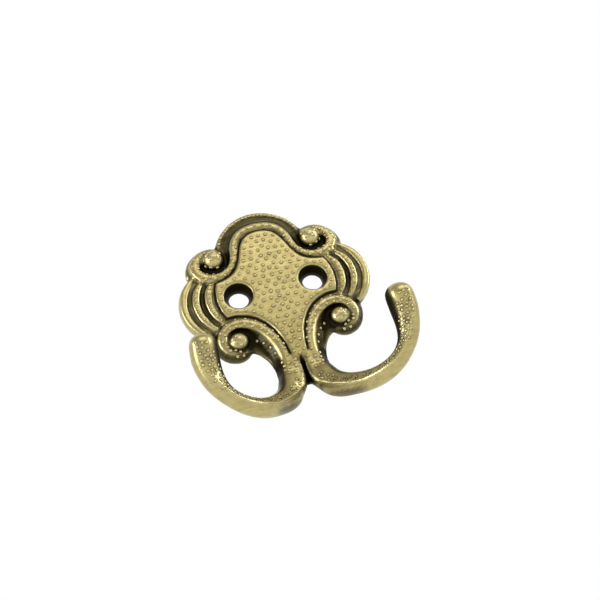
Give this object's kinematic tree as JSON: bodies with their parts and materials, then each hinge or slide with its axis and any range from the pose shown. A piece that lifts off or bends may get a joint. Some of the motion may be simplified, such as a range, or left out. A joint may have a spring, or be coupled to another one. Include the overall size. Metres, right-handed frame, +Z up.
{
  "type": "double coat hook",
  "caption": "Small double coat hook: a scrolled, beaded wall plate with countersunk screw holes and two arms curving out to rounded tips.",
  "frame": {"origin": "midway between the two screw holes, on the flat back face that lies on the wall", "axes": "+Z up the wall, -Y out from the wall towards the room (the screws leave this way), +X to the right as seen from the room"},
  "size_m": [0.0546, 0.0246, 0.0635],
  "materials": {
    "antique_brass": "antique brass plating, dark patina in the recesses and rubbed bright on the high parts"
  },
  "bodies": {
    "root": {"hook_casting": "antique_brass"}
  },
  "joints": []
}
